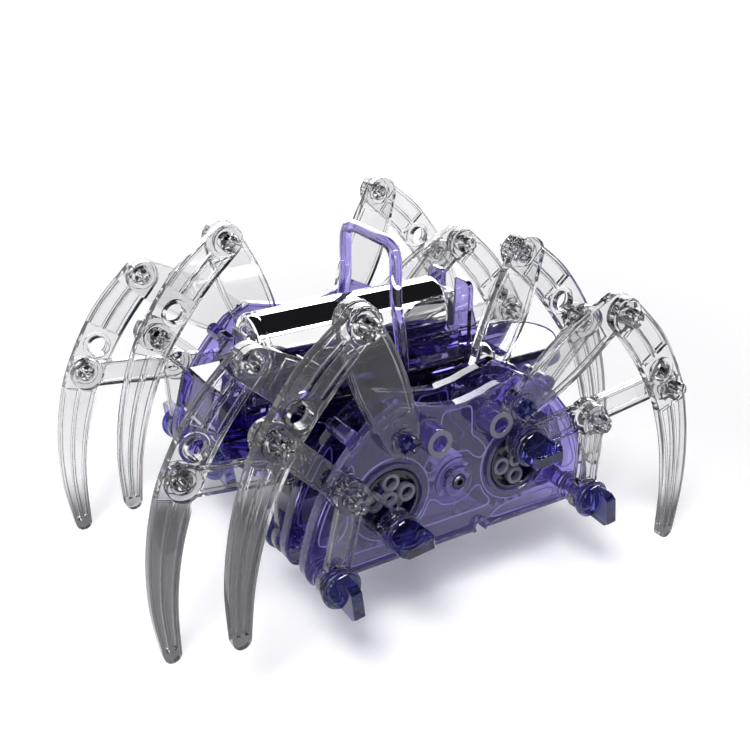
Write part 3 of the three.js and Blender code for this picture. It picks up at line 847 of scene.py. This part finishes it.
def make_chassis():
    x0, x1 = BODY_X
    z0, z1 = CHASSIS_LOW, CHASSIS_TOP

    def band(half, inner, wall, r, low, high, bevel):
        """A wall all round: half and inner are out from the middle, and wall is its thickness at the ends."""
        inside = rounded(x0 + wall, -inner, x1 - wall, inner, 1.0)
        return prism([rounded(x0, -half, x1, half, r), inside], low, high, bevel)

    walls = band(12, 10, 2, 1.6, z0, z1 - 0.1, 0.25)
    floor_plate = prism([rounded(x0 + 0.5, -11.5, x1 - 0.5, 11.5, 1.4)], z0 + 0.02, z0 + 2, 0.1)
    flange = band(12.7, 9.8, 2.2, 1.8, z1 - 1.6, z1, 0.2)
    skirt = band(12.5, 10.8, 1.2, 1.8, z0, z0 + 1.4, 0.2)
    ribs = []
    for x in (-23.5, -14.5, 12.5, 21.5):
        ribs += both(prism([rounded(x - 0.5, 11.5, x + 0.5, 12.6, 0.2)], z0 + 1, z1 - 1, 0.1))
    for x in (-8.2, 8.6):
        wall = crosswise([rounded(-10.6, z0 + 1, 10.6, z1 - 3.4, 0.4)], x - 0.55, x + 0.55, 0.1)
        room = crosswise([rounded(-2.4, 35.4, 2.4, z1, 0.5)], x - 2, x + 2, 0.1)
        wire_slots = both(crosswise([rounded(7.7, 38, 10.3, z1, 0.5)], x - 2, x + 2, 0.1))
        ribs.append(cut(wall, room, *wire_slots))
    # Thick arms run out to the inner plates' sockets, and thin rods go on into them.
    end, tip = HOUSING_Y - 10.3, HOUSING_Y - 5.3
    arm = [(0, 11), (2.6, 11), (2.6, 18.2), (2.35, 18.4), (2.35, 18.9), (2.6, 19.1), (2.6, end - 0.2),
           (2.4, end), (0, end)]
    rod = [(0, 11), (1.45, 11), (1.45, tip - 0.3), (1.1, tip), (0, tip)]
    arms = []
    for x in (-SOCKET_X, SOCKET_X):
        arms += both(lying(arm, (x, 0, SOCKET_Z - 1.2), "y"))
        arms += both(lying(rod, (x, 0, SOCKET_Z), "y", 24))
    feet = both(prism([rounded(loop_x - 3, 11.4, loop_x + 3, 16.2, 1.5)], 35, 39.4, 0.3))
    body = union(walls, floor_plate, flange, skirt, *ribs, *arms, *feet)
    axle = lying([(0, -14), (1.8, -14), (1.8, 14), (0, 14)], (0, 0, SHAFT_Z), "y")
    wide, a, b = MOTOR_R + 0.3, x1 - 4, x1 + 2
    motor_hole = lying([(0, a), (wide, a), (wide, b), (0, b)], (0, 0, MOTOR_Z), "x", 48)
    motor_slot = crosswise([rounded(-4, MOTOR_Z, 4, z1 + 2, 0.4)], a, b, 0.1)
    return cut(body, axle, motor_hole, motor_slot)


def make_tray():
    half = 8.6
    x0, x1 = CELL_X[0] - 3.4, CELL_X[1] + 3.6
    z0 = CHASSIS_TOP + 0.3
    slots = [rounded(x - 4, -3, x + 4, 3, 1.5) for x in (-20, -6, 8)]
    floor_plate = prism([rounded(x0, -half, x1, half, 0.8)] + slots, z0, z0 + 1.8, 0.2)
    section = [(7.62, z0 + 1), (half, z0 + 1), (half, 50.6), (9.3, 51.1), (9.3, 51.9), (7.62, 51.9)]
    rails = []
    for a, b in ((CELL_X[0], -18), (-15.5, 2.5), (5, CELL_X[1])):
        rails += both(crosswise([section], a, b, 0.15))
    front = crosswise([rounded(-half, z0 + 0.4, half, 58, 2.2)], x0, x0 + 1.4, 0.2)
    notch = crosswise([rounded(-2.2, 55, 2.2, 60, 0.8)], x0 - 1, x0 + 3, 0.1)
    up, flat = math.pi / 2, math.pi
    rear = crosswise([[
        (-half, z0 + 0.4), (half, z0 + 0.4), *arc((6.6, 61.25), 2.0, 0, up, 6),
        *arc((3.6, 62.25), 1.0, up, flat, 4), (2.6, 55.2), *arc((1.6, 55), 1.0, 0, -up, 4),
        *arc((-1.6, 55), 1.0, -up, -flat, 4), (-2.6, 55.2), *arc((-3.6, 62.25), 1.0, 0, up, 4),
        *arc((-6.6, 61.25), 2.0, up, flat, 6),
    ]], x1 - 1.4, x1, 0.2)
    a, b, low = x0 + 0.4, x1 - 0.4, z0 + 0.4
    gussets = both(upright([[(b, low), (x1 + 2.6, low), (x1 + 0.9, 54), (b, 58)]], 7.5, 8.5, 0.15))
    gussets += both(upright([[(a, low), (x0 + 3.2, low), (x0 + 1.2, 53)]], 7.62, half, 0.15))
    return union(floor_plate, *rails, cut(front, notch), rear, *gussets)


def make_tail():
    """The rear platform with its ribs and boss, and the hem around it, which takes the near-black painted
    shade.
    """
    to, half, z, fork = 54.5, 11.0, 40.1, 7.5
    start = BODY_X[1] + 0.3
    arm_end = MOTOR_X[1] + 2
    hem_width = 0.85
    quarter = math.pi / 2

    def tongue(inset):
        return [(start + 0.1, inset - half), *arc((to - half, 0), half - inset, -quarter, quarter, 28),
                (start + 0.1, half - inset)]

    outline = [*tongue(hem_width + 0.1), (start, fork), *arc((arm_end - 1, fork - 1), 1, quarter, 0, 4),
               *arc((arm_end - 1, 1 - fork), 1, 0, -quarter, 4), (start, -fork)]
    plate = prism([outline], z, z + 2.2, 0.2)
    hem = prism([[*tongue(0), *reversed(tongue(hem_width))]], z - 2.2, z + 2.4, 0.2)
    rib = [(arm_end + 0.4, z - 1.6), (to - 1.4, z - 1.6), (to - 1.4, z + 0.5), (arm_end + 0.4, z + 0.5)]
    ribs = [upright([rib], y - 0.4, y + 0.4, 0.1) for y in (-3.8, 3.8)]
    boss = tube((to - half, 0), 1.2, 2.6, z - 1.8, z + 0.6, 32, 0.15)
    return union(plate, *ribs, boss), hem


def make_nose():
    """The front bracket: a bent shell with two webs, a shelf and a lip at each side."""
    back, tray_front = BODY_X[0] - 0.3, CELL_X[0] - 3.7

    def bent(inset, heel, front, under):
        """A side view: up the front from a heel at the body box, then back under the tray."""
        near = tray_front - inset
        return [(back - inset, heel), *[(back - u, z) for u, z in front], (near, front[-1][1]), (near, under),
                (back - inset, under)]

    profile = bent(0, 27, [(7, 29), (13, 35), (16.5, 43), (14, 50.5)], 45)
    hollow = bent(1.4, 28.9, [(6.4, 30.4), (11.7, 35.7), (14.9, 43), (12.9, 49.1)], 43.6)
    web = bent(0.6, 27.8, [(6.9, 29.8), (12.4, 35.2), (15.8, 43), (13.6, 49.8)], 44.3)
    shell = upright([profile, hollow], -8, 8, 0.18)
    webs = [upright([web], y - 0.5, y + 0.5, 0.1) for y in (-4.6, 4.6)]
    a, b = back - 14.2, back - 0.8
    shelf = prism([[(a, -7.6), (b, -7.6), (b, 7.6), (a, 7.6)]], 38.2, 39.2, 0.1)
    lip = [(back - 15.9, 41.6), (back - 17.4, 42.4), (back - 15, 50.9), (back - 13.4, 50.2)]
    return union(shell, *webs, shelf, *both(upright([lip], 6.6, 8.0, 0.15)))


# The tub takes the near-black indigo: painted shade inside the housings.
centre_piece("chassis_tub", make_chassis(), PAINTED_SHADE_INDIGO, "chassis")
centre_piece("cell_tray_rails", make_tray(), INDIGO, "cell_tray")
tail, tail_hem = make_tail()
centre_piece("tail_plate_ribbed", tail, INDIGO, "tail_plate")
# The hem takes the near-black indigo: painted shade along the tail's edge.
centre_piece("tail_plate_hem", tail_hem, PAINTED_SHADE_INDIGO)
centre_piece("nose_bracket_shell", make_nose(), INDIGO, "nose_bracket")


# ---------------------------------------------------------------- motor and gears

def make_motor():
    a, b = MOTOR_X
    r, at = MOTOR_R, (0, 0, MOTOR_Z)
    can = lying([(0, a), (4.6, a), (5.2, a + 0.25), (r, a + 0.8), (r, a + 3.4), (5.42, a + 3.5),
                 (5.42, a + 3.8), (r, a + 3.9), (r, b - 3.2), (5.3, b - 3.1), (5.3, b - 2.7), (r, b - 2.6),
                 (r, b - 0.6), (5.2, b - 0.1), (4.4, b), (0, b)], at, "x", 56)
    nose = lying([(0, a - 1.6), (2.2, a - 1.6), (2.5, a - 1.3), (2.5, a + 0.5), (0, a + 0.5)], at, "x", 36)
    bell = lying([(0, b - 0.5), (2.5, b - 0.5), (2.5, b + 0.9), (2.2, b + 1.2), (0, b + 1.2)], at, "x", 36)
    tabs = both(upright([rounded(b - 0.3, 39.2, b + 1.1, 41.6, 0.3)], 2.9, 3.3, 0.08))
    vent = crosswise([rounded(4.6, -0.9, 6, 0.9, 0.3)], b - 8, b - 4.6, 0.05)
    vents = [moved(vent, Matrix.Translation(at) @ Matrix.Rotation(k * TAU / 4 + 0.8, 4, "X"))
             for k in range(4)]
    return union(cut(can, *vents), nose, bell, *tabs)


def make_screw(x0, x1, z, root, tip, pitch):
    """A worm: a round core whose radius rises and falls along one helix."""
    bm = bmesh.new()
    rows, sides = int((x1 - x0) / pitch * 12), 28
    rings = []
    for i in range(rows + 1):
        x = x0 + (x1 - x0) * i / rows
        fade = min(1, min(x - x0, x1 - x) / 0.8)
        ring = []
        for k in range(sides):
            a = TAU * k / sides
            wave = abs(((x / pitch - k / sides) % 1) * 2 - 1)
            r = root + (tip - root) * fade * min(1, max(0, wave * 2.2 - 0.6))
            ring.append(bm.verts.new((x, r * math.cos(a), z + r * math.sin(a))))
        rings.append(ring)
    for a, b in zip(rings, rings[1:]):
        for k in range(sides):
            j = (k + 1) % sides
            bm.faces.new((a[k], a[j], b[j], b[k]))
    bm.faces.new(rings[0])
    bm.faces.new(rings[-1])
    return to_mesh(bm)


def make_shaft():
    end = HOUSING_Y + PLATE[1] + 1.4
    rod = lying([(0, -end), (1.2, -end), (1.5, 0.3 - end), (1.5, end - 0.3), (1.2, end), (0, end)],
                (0, 0, SHAFT_Z), "y", 32)
    return cut(rod, *both(upright([circle(0.8, 6, (0, SHAFT_Z))], end - 1.4, end + 1, 0.02)))


def make_gear(teeth, module, phase, y, hub):
    half, centre = 2, (0, SHAFT_Z)
    outline = gear_outline(teeth, module, phase, centre)
    wheel = upright([outline, circle(SHAFT_BORE, 24, centre)], y - half, y + half, 0.1)
    profile = ring_profile(SHAFT_BORE, hub, -half - 0.25, half + 0.25, 0.15)
    return union(wheel, lying(profile, (0, y, SHAFT_Z), "y", 28, True))


def make_contact(x, spring):
    """A sheet contact, with a conical spring at the front and a dimple at the rear."""
    sheet = crosswise([rounded(-4, 51, 4, 60, 1.0)], x - 0.25, x + 0.25, 0.06)
    if not spring:
        dimple = [(0, x - 1.05), (1.0, x - 0.95), (1.9, x - 0.2), (1.9, x), (0, x)]
        return union(sheet, lying(dimple, (0, 0, 56), "x", 28))
    turns, steps = 2.25, 54
    coil = []
    for i in range(steps + 1):
        t = i / steps
        coil.append((x + 0.3 + 0.75 * t, *spot((0, 56), 3.4 - 1.5 * t, TAU * turns * t)))
    return union(sheet, sweep(coil, circle(0.22, 8), up=X))


def wire(points):
    return sweep([catmull(points, i / 60) for i in range(61)], circle(0.5, 14))


centre_piece("motor_can", make_motor(), MOTOR, "motor")
worm = make_screw(-6, MOTOR_X[0] - 2, MOTOR_Z, 0.9, 1.4, 1.6)
centre_piece("worm_screw", worm, STEEL, "worm", "worm", 60)
centre_piece("drive_shaft_rod", make_shaft(), DARK, "drive_shaft", "drive_shaft")
for side, y in (("left", -HOUSING_Y), ("right", HOUSING_Y)):
    pinion = make_gear(PINION_TEETH, GEAR_MODULE, math.pi / PINION_TEETH, y, 2.6)
    centre_piece(f"{side}_pinion_gear", pinion, NYLON, f"{side}_pinion", "drive_shaft")
wheel = make_gear(WHEEL_TEETH, WHEEL_MODULE, 0, 0, 3.0)
centre_piece("worm_wheel_gear", wheel, NYLON, "worm_wheel", "drive_shaft")
centre_piece("front_contact_spring", make_contact(CELL_X[0] - 1.45, True), STEEL, "front_contact")
centre_piece("rear_contact_sheet", make_contact(CELL_X[1] + 1.4, False), STEEL, "rear_contact")
front_run = [(-25, 7, 44), (-20, 9, 42), (-8, 9, 41), (10, 9, 41), (20, 9, 40), (23, 9, 42)]
rear_run = [(22, -9, 44), (18, -9, 42), (10, -9, 41), (4, -9, 40)]
centre_piece("front_wire_lead", wire(front_run), RED, "front_wire")
centre_piece("rear_wire_lead", wire(rear_run), BLACK, "rear_wire")


# ---------------------------------------------------------------- camera, floor and light

# The camera was fitted to the photograph.
AZIMUTH, ELEVATION, DISTANCE = math.radians(-31.75), math.radians(25.58), 0.25153
TARGET = Vector((0.00258, -0.00151, 0.0365 + LIFT * MM))
back = Vector((math.sin(AZIMUTH) * math.cos(ELEVATION), -math.cos(AZIMUTH) * math.cos(ELEVATION),
               math.sin(ELEVATION)))
lens = bpy.data.cameras.new("camera")
lens.sensor_width = 36
lens.lens = 50.447
lens.shift_x, lens.shift_y = -0.0107, 0.0264
lens.clip_start = 0.01
camera = linked(bpy.data.objects.new("camera", lens))
camera.location = TARGET + back * DISTANCE
camera.rotation_mode = "QUATERNION"
camera.rotation_quaternion = (-back).to_track_quat("-Z", "Y")
bpy.context.scene.camera = camera

floor_mesh = bpy.data.meshes.new("floor")
SIZE = 6.0
floor_mesh.from_pydata([(-SIZE, -SIZE, 0), (SIZE, -SIZE, 0), (SIZE, SIZE, 0), (-SIZE, SIZE, 0)], [],
                       [(0, 1, 2, 3)])
floor = linked(bpy.data.objects.new("floor", floor_mesh))
# Just under the feet.
floor.location.z = -0.00005
# The camera and reflections see plain pale paper. Through the plastic the half on the camera's side is
# painted dark, a painted shadow where no card lies, so that the clear parts show against it.
paper, tree, bsdf = new_material("floor_paper")
place = node(tree, "TexCoord", "Object")
past = node(tree, "VectorMath", "Value", {0: place, 1: (0.526, 0.85, 0)}, operation="DOT_PRODUCT")
painted_shadow_card = node(tree, "MapRange", "Result", {"From Min": 0.008, "From Max": 0.03, "Value": past},
            interpolation_type="SMOOTHSTEP")
through = node(tree, "LightPath", "Is Transmission Ray")
direct = node(tree, "Math", "Value", {0: 1.0, 1: through}, operation="SUBTRACT")
pale = node(tree, "Math", "Value", {0: painted_shadow_card, 1: direct}, operation="MAXIMUM")
tone = node(tree, "Mix", "Result", {"A": (0.12, 0.12, 0.125, 1), "B": (0.9, 0.9, 0.91, 1), "Factor": pale},
            data_type="RGBA")
# The paper glows more with distance, so that it runs into a white background.
reach = node(tree, "VectorMath", "Value", {0: place}, operation="LENGTH")
distant = node(tree, "MapRange", "Result", {"From Min": 0.12, "From Max": 0.6, "To Min": 0.2, "Value": reach})
glow = node(tree, "Mix", "Result", {"A": 0.05, "B": distant, "Factor": pale})
feed(tree, bsdf, {"Roughness": 0.9, "Specular IOR Level": 0.0, "Emission Color": (0.985, 0.98, 1, 1),
                  "Base Color": tone, "Emission Strength": glow})
floor_mesh.materials.append(paper)


def softbox(name, where, aim, width, height, power, mirrored=True):
    """A lamp that shows in reflections, or else one that lights matt surfaces. Plastic never shows it."""
    light = bpy.data.lights.new(name, "AREA")
    light.shape = "RECTANGLE"
    light.size, light.size_y = width, height
    light.energy = power
    ob = linked(bpy.data.objects.new(name, light))
    ob.location = where
    ob.rotation_mode = "QUATERNION"
    ob.rotation_quaternion = (Vector(aim) - Vector(where)).to_track_quat("-Z", "Y")
    ob.visible_diffuse = not mirrored
    ob.visible_glossy = mirrored
    ob.visible_transmission = False


softbox("key", (-0.42, -0.4, 0.9), (0, 0, 0), 0.36, 0.36, 11.0, mirrored=False)
softbox("fill", (0.2, 0.2, 1.4), (0, 0, 0), 1.6, 1.6, 4.0, mirrored=False)
softbox("back", (0.55, 0.95, 0.52), (0, 0, 0.05), 2.1, 0.85, 38.0)
softbox("front_strip", (-0.35, -0.9, 0.32), (0, 0, 0.04), 0.9, 0.16, 4.0)
# A long box above the front draws the highlights along rounded edges.
softbox("top_strip", (-0.02, -0.7, 0.76), (0, 0, 0.04), 1.7, 0.13, 17.0)

world = bpy.data.worlds.new("studio")
bpy.context.scene.world = world
world.use_nodes = True
tree = world.node_tree
sight = node(tree, "TexCoord", "Generated")
rise = node(tree, "SeparateXYZ", "Z", {"Vector": sight})


def darkening(start, end, dark):
    """White below a height of sight, and dark above another."""
    ramp = tree.nodes.new("ShaderNodeValToRGB")
    stops = ramp.color_ramp.elements
    stops[0].position, stops[1].position = start, end
    stops[0].color, stops[1].color = (1, 1, 1, 1), dark
    feed(tree, ramp, {"Fac": rise})
    return ramp.outputs["Color"]


# The studio's walls are bright up to half way, and its ceiling is dark. Through the plastic only a low band
# of the walls shows, which gives the edges their dark lines.
walls = darkening(0.52, 0.62, (0.01, 0.01, 0.012, 1))
band = darkening(0.04, 0.14, (0.02, 0.02, 0.03, 1))
through = node(tree, "LightPath", "Is Transmission Ray")
seen = node(tree, "Mix", "Result", {"A": walls, "B": band, "Factor": through}, data_type="RGBA")
feed(tree, tree.nodes["Background"], {"Color": seen, "Strength": 1.0})
world.cycles_visibility.diffuse = False

scene = bpy.context.scene
scene.view_settings.view_transform = "Standard"
scene.cycles.max_bounces = 24
scene.cycles.transmission_bounces = 24
scene.cycles.transparent_max_bounces = 24
